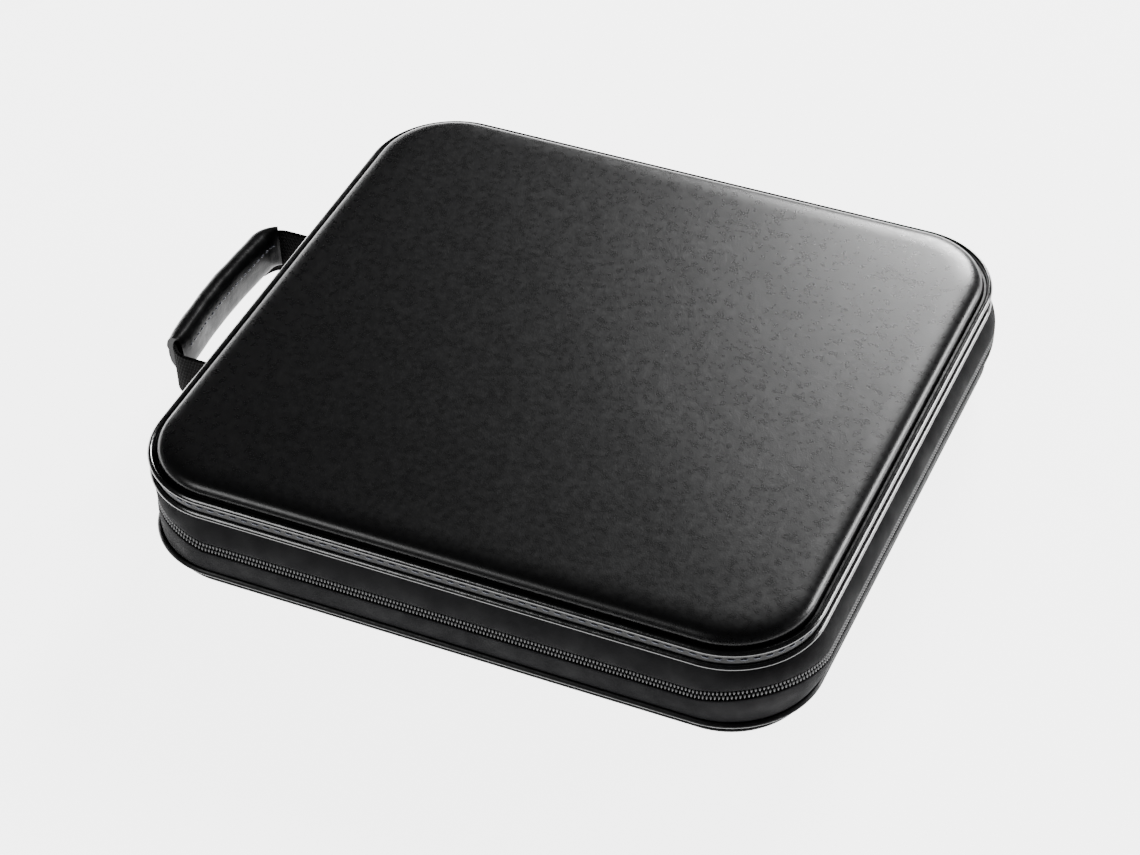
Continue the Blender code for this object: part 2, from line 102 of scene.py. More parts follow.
# Sizes that the frame leaves open
SKIN_THICKNESS = 0.0022
CLOTH_THICKNESS = 0.0012
BAND_THICKNESS = 0.0014
BAND_SINK = 0.0004
SPINE_BLEND = 0.024
STITCH_SINK = 0.00052
STRAP_HALF = 0.0009
GRIP_REACH = (GRIP_HIGH.y - GRIP_LOW.y) / 2
GRIP_HALF_HEIGHT = (GRIP_HIGH.z - GRIP_LOW.z) / 2
GRIP_MARGIN = 0.0012
GRIP_INNER_X = -0.180
LAP_HEIGHT = GRIP_HALF_HEIGHT * 0.42
LAP_THICKNESS = 0.0008
LEAF_FULLNESS = 0.86
SEAM_COVER = 0.55
TAPE_GAP = 0.0007
TAPE_SINK = 0.0005
TAPE_THICKNESS = 0.0007
COIL_MARGIN = 0.0020
COIL_PROUD = 0.0002
COIL_HALF_WIDTH = 0.00135
COIL_HALF_DEPTH = 0.0010
COIL_FULLNESS = 0.36


class CaseSizes(bpy.types.PropertyGroup):
    """Sizes of the fine work, which the frame leaves open."""
    turn_steps: IntProperty(name="Corner steps", description="Facets round each corner", default=20)
    stitch_pitch: FloatProperty(name="Stitch pitch", description="From one stitch to the next",
                                default=0.0056, unit="LENGTH")
    stitch_length: FloatProperty(name="Stitch length", description="Thread showing in a stitch",
                                 default=0.0036, unit="LENGTH")
    thread_radius: FloatProperty(name="Thread radius", description="Half the sewing thread",
                                 default=0.00042, unit="LENGTH")
    tooth_pitch: FloatProperty(name="Tooth pitch", description="From one coil turn to the next",
                               default=0.00170, unit="LENGTH")
    wall_bulge: FloatProperty(name="Wall bulge", description="Bulge of the long walls at the zip",
                              default=0.0018, unit="LENGTH")
    wall_lean: FloatProperty(name="Wall lean", description="More on the right wall, less on the left",
                             default=0.0026, unit="LENGTH")
    back_shift: FloatProperty(name="Back shift", description="How far left the back has settled",
                              default=0.0008, unit="LENGTH")
    corner_lift: FloatProperty(name="Corner lift", description="Rise of the zip at the front corners",
                               default=0.0040, unit="LENGTH")
    side_lift: FloatProperty(name="Side lift", description="Rise of the zip along the right side",
                             default=0.0020, unit="LENGTH")
    spine_bulge: FloatProperty(name="Spine bulge", description="Bulge where the walls meet the spine",
                               default=0.0008, unit="LENGTH")
    grip_thickness: FloatProperty(name="Grip thickness", description="Across the rolled grip",
                                  default=0.0108, unit="LENGTH")
    leaf_count: IntProperty(name="Sleeve leaves", description="Leaves in the sleeve stack",
                            default=20)
    grip_overrun: FloatProperty(name="Grip overrun", description="How far it runs into the bend",
                                default=0.0082, unit="LENGTH")
    rib_count: IntProperty(name="Strap ribs", description="Woven ribs across the strap", default=12)


class CaseColours(bpy.types.PropertyGroup):
    """Colours of the finishes."""
    leatherette: FloatVectorProperty(name="Leatherette", description="Covers and grip", size=3,
                                     subtype="COLOR", default=(0.0030, 0.0030, 0.0034))
    piping: FloatVectorProperty(name="Piping", description="Glossy binding", size=3,
                                subtype="COLOR", default=(0.0030, 0.0030, 0.0033))
    nylon: FloatVectorProperty(name="Nylon", description="Woven walls", size=3,
                               subtype="COLOR", default=(0.0026, 0.0026, 0.0030))
    webbing: FloatVectorProperty(name="Webbing", description="Handle strap", size=3,
                                 subtype="COLOR", default=(0.0022, 0.0021, 0.0021))
    coil: FloatVectorProperty(name="Coil", description="Zip coil", size=3,
                              subtype="COLOR", default=(0.0080, 0.0080, 0.0088))
    # Thread: dark thread given a lighter grey-blue; the lightness is a painted highlight standing in for
    # its glints.
    thread: FloatVectorProperty(name="Thread", description="Sewing thread", size=3,
                                subtype="COLOR", default=(0.050, 0.054, 0.072))
    lining: FloatVectorProperty(name="Lining", description="Inside cloth", size=3,
                                subtype="COLOR", default=(0.018, 0.018, 0.020))
    sleeve: FloatVectorProperty(name="Sleeve", description="Disc sleeve film", size=3,
                                subtype="COLOR", default=(0.035, 0.036, 0.040))
    metal: FloatVectorProperty(name="Metal", description="Sliders and tabs", size=3,
                               subtype="COLOR", default=(0.020, 0.020, 0.022))


# Node helpers for the finishes

class Finish:
    """A Principled material with short calls for the nodes that the finishes share."""

    def __init__(self, name, colour, roughness):
        self.material = bpy.data.materials.new(name)
        self.material.use_nodes = True
        self.tree = self.material.node_tree
        self.shader = self.tree.nodes["Principled BSDF"]
        self.shader.inputs["Base Color"].default_value = (*colour, 1.0)
        self.shader.inputs["Roughness"].default_value = roughness
        self.colour = colour

    def node(self, kind, **settings):
        made = self.tree.nodes.new(kind)
        for key, value in settings.items():
            setattr(made, key, value)
        return made

    def link(self, source, target):
        self.tree.links.new(source, target)

    def place(self, kind="Object"):
        """Object coordinates, or the piece's own UV map."""
        return self.node("ShaderNodeTexCoord").outputs[kind]

    def maths(self, operation, first, second=None):
        made = self.node("ShaderNodeMath", operation=operation)
        for socket, value in zip(made.inputs, (first, second)):
            if value is None:
                continue
            if isinstance(value, (int, float)):
                socket.default_value = value
            else:
                self.link(value, socket)
        return made.outputs[0]

    def noise(self, source, scale, detail=2.0, rough=0.5):
        made = self.node("ShaderNodeTexNoise")
        made.inputs["Scale"].default_value = scale
        made.inputs["Detail"].default_value = detail
        made.inputs["Roughness"].default_value = rough
        self.link(source, made.inputs["Vector"])
        return made.outputs["Fac"]

    def cells(self, source, scale, smooth=0.6):
        made = self.node("ShaderNodeTexVoronoi", feature="SMOOTH_F1")
        made.inputs["Scale"].default_value = scale
        made.inputs["Smoothness"].default_value = smooth
        self.link(source, made.inputs["Vector"])
        return made.outputs["Distance"]

    def spread(self, source, low, high, from_low=0.3, from_high=0.7):
        made = self.node("ShaderNodeMapRange")
        made.inputs["From Min"].default_value = from_low
        made.inputs["From Max"].default_value = from_high
        made.inputs["To Min"].default_value = low
        made.inputs["To Max"].default_value = high
        self.link(source, made.inputs["Value"])
        return made.outputs["Result"]

    def bump(self, height, distance, strength=1.0, after=None):
        made = self.node("ShaderNodeBump")
        made.inputs["Strength"].default_value = strength
        made.inputs["Distance"].default_value = distance
        self.link(height, made.inputs["Height"])
        if after is not None:
            self.link(after, made.inputs["Normal"])
        self.link(made.outputs["Normal"], self.shader.inputs["Normal"])
        return made.outputs["Normal"]

    def vary_roughness(self, source, low, high):
        self.link(self.spread(source, low, high), self.shader.inputs["Roughness"])

    def vary_colour(self, source, darker, lighter):
        """The base colour, shaded between two multiples of itself."""
        mix = self.node("ShaderNodeMix", data_type="RGBA")
        self.link(source, mix.inputs["Factor"])
        for socket in mix.inputs:
            if socket.type == "RGBA":
                share = darker if socket.name == "A" else lighter
                socket.default_value = (*[c * share for c in self.colour], 1.0)
        mixed = [socket for socket in mix.outputs if socket.type == "RGBA"][0]
        self.link(mixed, self.shader.inputs["Base Color"])


def leatherette(colour):
    """Satin coated cloth with a very fine pressed grain."""
    finish = Finish("leatherette", colour, 0.31)
    spot = finish.place()
    grain = finish.cells(spot, 1500.0)
    fine = finish.noise(spot, 2600.0, 3.0, 0.6)
    both = finish.maths("ADD", grain, finish.maths("MULTIPLY", fine, 0.55))
    first = finish.bump(both, 0.00010, 0.20)
    finish.bump(finish.noise(spot, 26.0, 2.0), 0.0006, 0.10, after=first)
    finish.vary_roughness(finish.noise(spot, 320.0, 3.0), 0.26, 0.32)
    finish.vary_colour(finish.noise(spot, 900.0, 2.0), 0.92, 1.1)
    return finish.material


def glossy_piping(colour):
    """Coated strip drawn tight over a cord, smooth with small puckers."""
    finish = Finish("glossy_piping", colour, 0.16)
    spot = finish.place()
    pucker = finish.noise(spot, 210.0, 3.0, 0.55)
    first = finish.bump(pucker, 0.0005, 0.28)
    finish.bump(finish.noise(spot, 1400.0, 2.0), 0.00008, 0.35, after=first)
    finish.vary_roughness(finish.noise(spot, 160.0, 2.0), 0.16, 0.26)
    finish.shader.inputs["Specular IOR Level"].default_value = 0.8
    finish.shader.inputs["Coat Weight"].default_value = 0.6
    finish.shader.inputs["Coat Roughness"].default_value = 0.12
    return finish.material


def soft_band(colour):
    """The same coated cloth as the piping, slack and duller between the two beads."""
    finish = Finish("soft_band", colour, 0.34)
    spot = finish.place()
    first = finish.bump(finish.noise(spot, 120.0, 3.0), 0.0006, 0.35)
    finish.bump(finish.cells(spot, 1500.0), 0.00008, 0.4, after=first)
    finish.vary_roughness(finish.noise(spot, 240.0, 2.0), 0.28, 0.42)
    finish.shader.inputs["Specular IOR Level"].default_value = 0.22
    return finish.material


def grip_leather(colour):
    """The covers' coated cloth, drawn over the grip with long soft creases."""
    finish = Finish("grip_leather", colour, 0.34)
    spot = finish.place()
    first = finish.bump(finish.cells(spot, 1500.0), 0.00009, 0.5)
    finish.bump(finish.noise(spot, 95.0, 3.0), 0.0012, 0.30, after=first)
    finish.vary_roughness(finish.noise(spot, 260.0, 2.0), 0.28, 0.40)
    finish.shader.inputs["Specular IOR Level"].default_value = 0.18
    return finish.material


def woven_nylon(colour):
    """Plain weave that follows the wall, from its own unrolled map in metres."""
    yarn_pitch = 0.00062
    finish = Finish("woven_nylon", colour, 0.80)
    uv = finish.node("ShaderNodeSeparateXYZ")
    finish.link(finish.place("UV"), uv.inputs[0])
    turn = 2 * math.pi / yarn_pitch
    warp = finish.maths("SINE", finish.maths("MULTIPLY", uv.outputs[0], turn))
    weft = finish.maths("SINE", finish.maths("MULTIPLY", uv.outputs[1], turn))
    check = finish.maths("MULTIPLY", warp, weft)
    height = finish.maths("ADD", check, finish.maths("MULTIPLY", finish.maths("ABSOLUTE", warp), 0.6))
    first = finish.bump(height, 0.00016, 0.7)
    spot = finish.place()
    finish.bump(finish.noise(spot, 60.0, 3.0), 0.0009, 0.07, after=first)
    finish.vary_colour(finish.noise(spot, 700.0, 3.0, 0.65), 0.65, 1.7)
    finish.vary_roughness(finish.noise(spot, 90.0, 2.0), 0.70, 0.90)
    finish.shader.inputs["Specular IOR Level"].default_value = 0.08
    return finish.material


def ribbed_webbing(colour):
    """Heavy strap weave: short floats stepping across the ribs."""
    float_pitch = 0.0016
    rib_slant = 0.0042
    finish = Finish("ribbed_webbing", colour, 0.82)
    uv = finish.node("ShaderNodeSeparateXYZ")
    finish.link(finish.place("UV"), uv.inputs[0])
    along = finish.maths("MULTIPLY", uv.outputs[0], 2 * math.pi / float_pitch)
    across = finish.maths("MULTIPLY", uv.outputs[1], 2 * math.pi / rib_slant)
    floats = finish.maths("SINE", finish.maths("ADD", along, across))
    first = finish.bump(floats, 0.00030, 0.8)
    spot = finish.place()
    finish.bump(finish.noise(spot, 900.0, 3.0), 0.0002, 0.4, after=first)
    finish.vary_colour(finish.noise(spot, 500.0, 3.0), 0.6, 1.5)
    finish.shader.inputs["Specular IOR Level"].default_value = 0.06
    return finish.material


def zip_coil(colour):
    """Moulded monofilament, half gloss."""
    finish = Finish("zip_coil", colour, 0.32)
    spot = finish.place()
    finish.bump(finish.noise(spot, 900.0, 2.0), 0.0001, 0.3)
    finish.vary_roughness(finish.noise(spot, 400.0, 2.0), 0.26, 0.42)
    return finish.material


def sewing_thread(colour):
    """Twisted bonded thread. Its grey-blue colour is lighter than the black thread: a painted highlight
    for its glints.
    """
    finish = Finish("sewing_thread", colour, 0.38)
    spot = finish.place()
    finish.bump(finish.noise(spot, 2200.0, 2.0), 0.0001, 0.5)
    finish.vary_colour(finish.noise(spot, 260.0, 2.0), 0.5, 1.7)
    return finish.material


def brushed_lining(colour):
    """Short-napped knit."""
    finish = Finish("brushed_lining", colour, 0.88)
    spot = finish.place()
    finish.bump(finish.noise(spot, 1300.0, 4.0, 0.7), 0.0003, 0.6)
    finish.vary_colour(finish.noise(spot, 300.0, 3.0), 0.7, 1.5)
    finish.vary_roughness(finish.noise(spot, 120.0, 2.0), 0.82, 0.95)
    finish.shader.inputs["Sheen Weight"].default_value = 0.35
    return finish.material


def sleeve_film(colour):
    """Thin clear film over black felt."""
    finish = Finish("sleeve_film", colour, 0.22)
    spot = finish.place()
    finish.bump(finish.noise(spot, 38.0, 3.0), 0.0012, 0.25)
    finish.vary_roughness(finish.noise(spot, 70.0, 3.0), 0.16, 0.34)
    finish.vary_colour(finish.noise(spot, 500.0, 2.0), 0.8, 1.3)
    return finish.material


def black_metal(colour):
    """Lacquered die-cast metal."""
    finish = Finish("black_metal", colour, 0.30)
    finish.shader.inputs["Metallic"].default_value = 0.6
    spot = finish.place()
    finish.bump(finish.noise(spot, 800.0, 2.0), 0.00006, 0.3)
    finish.vary_roughness(finish.noise(spot, 300.0, 3.0), 0.24, 0.40)
    return finish.material


FINISHES = {
    "leatherette": leatherette,
    "piping": glossy_piping,
    "band": soft_band,
    "grip": grip_leather,
    "nylon": woven_nylon,
    "webbing": ribbed_webbing,
    "zip_coil": zip_coil,
    "thread": sewing_thread,
    "lining": brushed_lining,
    "sleeve": sleeve_film,
    "metal": black_metal,
}
COLOUR_NAMES = {"zip_coil": "coil", "band": "piping", "grip": "leatherette"}
made_finishes = {}


def finish_for(slot):
    """The material of a slot, made once."""
    if slot not in made_finishes:
        colours = bpy.context.scene.case_colours
        made_finishes[slot] = FINISHES[slot](getattr(colours, COLOUR_NAMES.get(slot, slot)))
    return made_finishes[slot]


# Mesh helpers

def sizes():
    return bpy.context.scene.case_sizes


def finished(name, bm, slot, body, replaced=(), smooth_angle=40.0):
    """Turns a bmesh into a dressed piece that rides on its body."""
    mesh = bpy.data.meshes.new(name)
    bm.to_mesh(mesh)
    bm.free()
    mesh.shade_smooth()
    mesh.set_sharp_from_angle(angle=math.radians(smooth_angle))
    piece = bpy.data.objects.new(name, mesh)
    bpy.context.scene.collection.objects.link(piece)
    mesh.materials.append(finish_for(slot))
    if body:
        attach(piece, body)
    if replaced:
        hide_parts(*replaced)
    return piece


def closed_line(bm, places):
    """Vertices joined in a loop, ready to be drawn out."""
    verts = [bm.verts.new(place) for place in places]
    return [bm.edges.new(pair) for pair in zip(verts, verts[1:] + verts[:1])]


def draw_out(bm, edges, move, steps):
    """Extrudes a section's edges along a straight, in even steps."""
    for _ in range(steps):
        made = bmesh.ops.extrude_edge_only(bm, edges=edges)["geom"]
        verts = [item for item in made if isinstance(item, bmesh.types.BMVert)]
        edges = [item for item in made if isinstance(item, bmesh.types.BMEdge)]
        bmesh.ops.translate(bm, verts=verts, vec=move / steps)
    return edges


def turn_corner(bm, edges, centre):
    """Spins a section's edges a quarter turn about a corner's upright axis."""
    verts = list({vert for edge in edges for vert in edge.verts})
    made = bmesh.ops.spin(bm, geom=verts + edges, cent=centre, axis=(0.0, 0.0, 1.0),
                          angle=math.radians(90.0), steps=sizes().turn_steps, use_merge=False)
    return [item for item in made["geom_last"] if isinstance(item, bmesh.types.BMEdge)]


def carry_round(bm, edges, straight_steps):
    """Carries a section from the spine's front corner round the four corners to its back one."""
    legs = (((-CORNER_X, -CORNER_Y), Vector((RUN_X, 0, 0))),
            ((CORNER_X, -CORNER_Y), Vector((0, RUN_Y, 0))),
            ((CORNER_X, CORNER_Y), Vector((-RUN_X, 0, 0))),
            ((-CORNER_X, CORNER_Y), None))
    for (x, y), move in legs:
        edges = turn_corner(bm, edges, (x, y, 0.0))
        if move is not None:
            edges = draw_out(bm, edges, move, straight_steps)
    return edges


def section_at_spine(bm, section, y):
    """A section of (outset, height) points stood up at the spine."""
    return closed_line(bm, [Vector((-HALF_LENGTH - outset, y, z)) for outset, z in section])


def full_ring(section, straight_steps=12):
    """A section swept all the way round the case."""
    bm = bmesh.new()
    edges = section_at_spine(bm, section, -CORNER_Y)
    edges = carry_round(bm, edges, straight_steps)
    draw_out(bm, edges, Vector((0, -RUN_Y, 0)), straight_steps)
    bmesh.ops.remove_doubles(bm, verts=bm.verts, dist=2e-5)
    bmesh.ops.recalc_face_normals(bm, faces=bm.faces)
    return bm


def zip_run(section, straight_steps):
    """A section swept along the zip's run, with both of its ends capped."""
    bm = bmesh.new()
    lead = Vector((0, ZIP_END - CORNER_Y, 0))
    edges = section_at_spine(bm, section, -ZIP_END)
    bmesh.ops.contextual_create(bm, geom=edges)
    edges = draw_out(bm, edges, lead, 2)
    edges = carry_round(bm, edges, straight_steps)
    edges = draw_out(bm, edges, lead, 2)
    bmesh.ops.contextual_create(bm, geom=edges)
    bmesh.ops.recalc_face_normals(bm, faces=bm.faces)
    return bm


def spine_strip(section, steps):
    """A section drawn along the spine from front to back, with both of its ends capped."""
    bm = bmesh.new()
    edges = section_at_spine(bm, section, -SPINE_HALF)
    bmesh.ops.contextual_create(bm, geom=edges)
    edges = draw_out(bm, edges, Vector((0, 2 * SPINE_HALF, 0)), steps)
    bmesh.ops.contextual_create(bm, geom=edges)
    bmesh.ops.recalc_face_normals(bm, faces=bm.faces)
    return bm


def bead_line(outset, z, radius, sides=24, flatness=1.42):
    """The section of a sewn bead: a cord drawn flat on its four slanting sides."""
    points = []
    for i in range(sides):
        angle = 2 * math.pi * i / sides
        across = math.copysign(abs(math.cos(angle)) ** flatness, math.cos(angle))
        rise = math.copysign(abs(math.sin(angle)) ** flatness, math.sin(angle))
        points.append((outset + radius * across, z + radius * rise))
    return points


def outline_place(travel, outset=0.0):
    """The point and outward direction at a distance along the outline.

    Travel starts at the spine's front corner and runs counter-clockwise."""
    legs = ((ARC, (-CORNER_X, -CORNER_Y), 180.0, None), (RUN_X, None, 270.0, (-CORNER_X, -HALF_WIDTH)),
            (ARC, (CORNER_X, -CORNER_Y), 270.0, None), (RUN_Y, None, 0.0, (HALF_LENGTH, -CORNER_Y)),
            (ARC, (CORNER_X, CORNER_Y), 0.0, None), (RUN_X, None, 90.0, (CORNER_X, HALF_WIDTH)),
            (ARC, (-CORNER_X, CORNER_Y), 90.0, None), (RUN_Y, None, 180.0, (-HALF_LENGTH, CORNER_Y)))
    travel %= OUTLINE_LENGTH
    for length, centre, degrees, start in legs:
        if travel > length:
            travel -= length
            continue
        if centre is not None:
            angle = math.radians(degrees + 90.0 * travel / length)
            out = Vector((math.cos(angle), math.sin(angle), 0.0))
            return Vector((*centre, 0.0)) + out * (CORNER_RADIUS + outset), out
        angle = math.radians(degrees)
        out = Vector((math.cos(angle), math.sin(angle), 0.0))
        ahead = Vector((-out.y, out.x, 0.0))
        return Vector((*start, 0.0)) + ahead * travel + out * outset, out
    return outline_place(0.0, outset)


def travel_of(point):
    """The distance along the outline that lies nearest to a point, and its outward direction."""
    x, y = point.x, point.y
    if abs(x) > CORNER_X and abs(y) > CORNER_Y:
        centre = Vector((math.copysign(CORNER_X, x), math.copysign(CORNER_Y, y), 0.0))
        out = Vector((x, y, 0.0)) - centre
        out.normalize()
        starts = {(-1, -1): (0.0, 180.0), (1, -1): (ARC + RUN_X, 270.0),
                  (1, 1): (2 * ARC + RUN_X + RUN_Y, 0.0),
                  (-1, 1): (3 * ARC + 2 * RUN_X + RUN_Y, 90.0)}
        base, first = starts[(int(math.copysign(1, x)), int(math.copysign(1, y)))]
        degrees = (math.degrees(math.atan2(out.y, out.x)) - first) % 360.0
        return base + ARC * min(degrees, 90.0) / 90.0, out
    if HALF_WIDTH - abs(y) < HALF_LENGTH - abs(x):
        if y < 0:
            return ARC + x + CORNER_X, Vector((0, -1, 0))
        return 3 * ARC + RUN_X + RUN_Y + CORNER_X - x, Vector((0, 1, 0))
    if x > 0:
        return 2 * ARC + RUN_X + y + CORNER_Y, Vector((1, 0, 0))
    return 4 * ARC + 2 * RUN_X + RUN_Y + CORNER_Y - y, Vector((-1, 0, 0))


def ease(share):
    """A share held between 0 and 1, with a soft start and a soft end."""
    held = min(1.0, max(0.0, share))
    return held * held * (3 - 2 * held)


def unroll(bm):
    """A UV map in metres: along the outline, and up the wall."""
    layer = bm.loops.layers.uv.new("unrolled")
    for face in bm.faces:
        along = [travel_of(loop.vert.co)[0] for loop in face.loops]
        if max(along) - min(along) > OUTLINE_LENGTH / 2:
            along = [value + OUTLINE_LENGTH if value < OUTLINE_LENGTH / 2 else value for value in along]
        for loop, value in zip(face.loops, along):
            loop[layer].uv = (value, loop.vert.co.z)


def swell_wall(bm):
    """Leans the walls as the closed case does: out on the right, in on the left, most at the zip."""
    reach = Z_LID_INNER - Z_ZIP
    group = sizes()
    for vert in bm.verts:
        _, out = travel_of(vert.co)
        rise = abs(vert.co.z - Z_ZIP) / reach
        share = max(0.0, 1.0 - rise * rise)
        wanted = group.wall_bulge + group.wall_lean * out.x
        if out.y > 0:
            wanted += (WALL_BULGE - group.wall_bulge) * out.y ** 2
        if vert.co.x < 0:
            blend = ease((abs(vert.co.y) - SPINE_HALF) / SPINE_BLEND)
            wanted = group.spine_bulge + (wanted - group.spine_bulge) * blend
        vert.co += out * (wanted - WALL_BULGE) * share
        corner = 2 * abs(out.x * out.y) if out.y < 0 else 0.0
        right = max(0.0, out.x) * max(0.0, 1.0 - 1.4 * max(0.0, out.y))
        vert.co.z += (group.corner_lift * corner + group.side_lift * right) * share
    settle(bm)


def settle(bm):
    """The back sits a little to the left under the lid, and the walls lean between them."""
    for vert in bm.verts:
        share = (Z_LID_INNER - vert.co.z) / (Z_LID_INNER - Z_BACK_INNER)
        vert.co.x -= sizes().back_shift * min(1.0, max(0.0, share))


def lay_copies(bm, places, size):
    """Small rounded lozenges of the given size, each turned to its own directions."""
    bead = bmesh.new()
    bmesh.ops.create_uvsphere(bead, u_segments=8, v_segments=6, radius=1.0)
    shape = bpy.data.meshes.new("bead")
    bead.to_mesh(shape)
    bead.free()
    for place, ahead, out in places:
        turn = Matrix((ahead, out, ahead.cross(out))).transposed().to_4x4()
        spot = Matrix.Translation(place) @ turn @ Matrix.Diagonal((*size, 1.0))
        shape.transform(spot)
        bm.from_mesh(shape)
        shape.transform(spot.inverted())
    bpy.data.meshes.remove(shape)


def lay_beads(name, places, length, radius, slot, body):
    """Stitches of thread, each laid along its own direction."""
    bm = bmesh.new()
    lay_copies(bm, places, (length / 2, radius, radius))
    return finished(name, bm, slot, body)


# Pieces

RIM_PITCH = 0.004
# Rounded edges: how far in, and how far from the flat field
LID_EDGE = ((0.0000, 0.0060), (0.0002, 0.0049), (0.0007, 0.0038), (0.0016, 0.0027), (0.0029, 0.0018),
            (0.0046, 0.0011), (0.0067, 0.0006), (0.0092, 0.0003), (0.0122, 0.0001), (0.0160, 0.0))
BACK_EDGE = ((0.0008, 0.0028), (0.0016, 0.0018), (0.0028, 0.0009), (0.0044, 0.0003), (0.0064, 0.0))


def pressed_cover(rings, upward):
    """A pressed shell: the rim's outline carried inwards ring by ring, closed by a flat field."""
    outset, height = rings[0]
    bm = bmesh.new()
    count = int(OUTLINE_LENGTH / RIM_PITCH)
    places = [outline_place(OUTLINE_LENGTH * i / count, outset)[0] for i in range(count)]
    edges = closed_line(bm, [Vector((p.x, p.y, height)) for p in places])
    rim = bmesh.ops.contextual_create(bm, geom=edges)["faces"][0]
    made = bmesh.ops.extrude_face_region(bm, geom=[rim])["geom"]
    field = [item for item in made if isinstance(item, bmesh.types.BMFace)][0]
    bmesh.ops.delete(bm, geom=[rim], context="FACES_ONLY")
    first = rings[1]
    bmesh.ops.translate(bm, verts=field.verts, vec=(0.0, 0.0, first[1] - height))
    if first[0] != outset:
        for vert in field.verts:
            _, out = travel_of(vert.co)
            vert.co += out * (first[0] - outset)
    for (outset_a, z_a), (outset_b, z_b) in zip(rings[1:], rings[2:]):
        bmesh.ops.inset_region(bm, faces=[field], thickness=outset_a - outset_b, depth=0.0,
                               use_even_offset=True)
        bmesh.ops.translate(bm, verts=field.verts, vec=(0.0, 0.0, z_b - z_a))
    bmesh.ops.recalc_face_normals(bm, faces=bm.faces)
    field.normal_update()
    if (field.normal.z > 0) != upward:
        bmesh.ops.reverse_faces(bm, faces=bm.faces)
    return bm


class CASE_OT_covers(bpy.types.Operator):
    """Builds the two pressed covers with their rounded edges"""
    bl_idname = "case.covers"
    bl_label = "Pressed Covers"

    def execute(self, context):
        edge = TOP_HIGH.x - HALF_LENGTH
        rings = [(edge, TOP_LOW.z)] + [(edge - inward, Z_TOP - drop) for inward, drop in LID_EDGE]
        self.cover("top_cover_skin", pressed_cover(rings, True), "lid", "top_panel")

        back_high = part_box("bottom_panel")[1]
        edge = back_high.x - HALF_LENGTH
        tucked = edge - BACK_TUCK
        rings = [(edge, back_high.z), (tucked, Z_BACK_OUTER)]
        rings += [(tucked - inward, rise) for inward, rise in BACK_EDGE]
        bm = pressed_cover(rings, False)
        settle(bm)
        self.cover("back_cover_skin", bm, "base", "bottom_panel")
        return {"FINISHED"}

    def cover(self, name, bm, body, node):
        piece = finished(name, bm, "leatherette", body, (node,), 60.0)
        wall = piece.modifiers.new("wall", "SOLIDIFY")
        wall.thickness = SKIN_THICKNESS
        wall.offset = -1.0


class CASE_OT_bindings(bpy.types.Operator):
    """Builds the piping, the side bands and their stitching"""
    bl_idname = "case.bindings"
    bl_label = "Piping and Stitching"

    def execute(self, context):
        for name, z, tuck, body, node in (
                ("lid_piping_outer", Z_LID_OUTER, 0.0, "lid", "top_piping_outer"),
                ("lid_piping_inner", Z_LID_INNER, 0.0, "lid", "top_piping_inner"),
                ("back_piping_inner", Z_BACK_INNER, 0.0, "base", "bottom_piping_inner"),
                ("back_piping_outer", Z_BACK_OUTER, BACK_TUCK, "base", "bottom_piping_outer")):
            bm = full_ring(bead_line(-tuck, z, PIPING_RADIUS))
            settle(bm)
            finish = "piping" if body == "lid" else "band"
            finished(name, bm, finish, body, (node,), 60.0)
        self.band("lid_side_band", (-BAND_SINK, Z_LID_INNER), (-BAND_SINK, Z_LID_OUTER), "lid",
                  "top_side_band")
        self.band("back_side_band", (-BACK_TUCK - BAND_SINK, Z_BACK_OUTER), (-BAND_SINK, Z_BACK_INNER),
                  "base", "bottom_side_band")
        self.stitches("lid_stitches", -STITCH_SINK, (Z_LID_INNER + Z_LID_OUTER) / 2, "lid")
        self.stitches("back_stitches", -STITCH_SINK - BACK_TUCK / 2, (Z_BACK_OUTER + Z_BACK_INNER) / 2,
                      "base")
        return {"FINISHED"}

    def band(self, name, low, high, body, node):
        """A flat strip with a shallow furrow where it is sewn down."""
        steps = 12
        furrow_depth = 0.00045
        furrow_width = 0.10
        swell = 0.0007
        points = []
        for step in range(steps + 1):
            share = step / steps
            furrow = furrow_depth * math.exp(-((share - 0.5) / furrow_width) ** 2)
            bow = swell * math.sin(math.pi * share) ** 0.5
            outset = low[0] + (high[0] - low[0]) * share
            points.append((outset - swell + bow - furrow, low[1] + (high[1] - low[1]) * share))
        inner = [(outset - BAND_THICKNESS, z) for outset, z in reversed(points)]
        bm = full_ring(points + inner)
        settle(bm)
        finished(name, bm, "band", body, (node,), 60.0)

    def stitches(self, name, outset, z, body):
        """Stitches at even steps round the band."""
        count = int(OUTLINE_LENGTH / sizes().stitch_pitch)
        shift = sizes().back_shift if body == "base" else 0.0
        places = []
        for i in range(count):
            place, out = outline_place((i + 0.5) * OUTLINE_LENGTH / count, outset)
            place.z = z
            place.x -= shift
            places.append((place, Vector((-out.y, out.x, 0.0)), out))
        lay_beads(name, places, sizes().stitch_length, sizes().thread_radius, "thread", body)


